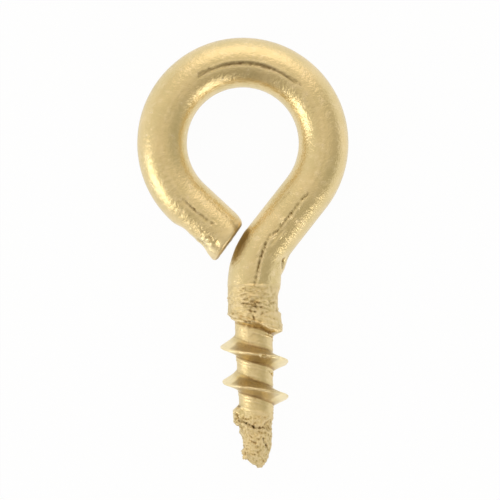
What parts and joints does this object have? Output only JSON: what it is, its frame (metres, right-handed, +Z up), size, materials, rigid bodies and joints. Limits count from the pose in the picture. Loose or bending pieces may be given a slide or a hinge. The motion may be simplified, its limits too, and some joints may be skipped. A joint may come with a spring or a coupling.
{
  "type": "screw eye",
  "caption": "Small bent-wire screw eye with a nearly closed ring, an offset neck, a short plain shank and a coarse wood thread that ends in a torn stub.",
  "frame": {"origin": "bottom centre of the part's box, on the surface that it lies on", "axes": "+Z up from that surface; +Y from the torn stub towards the eye; +X across the eye, towards the side where the neck leaves the ring"},
  "size_m": [0.005, 0.0102, 0.0016],
  "materials": {
    "plated_brass": "satin pale gold plating with rolling marks, worn and torn at the thread's ends"
  },
  "bodies": {
    "root": {"screw_eye": "plated_brass"}
  },
  "joints": []
}
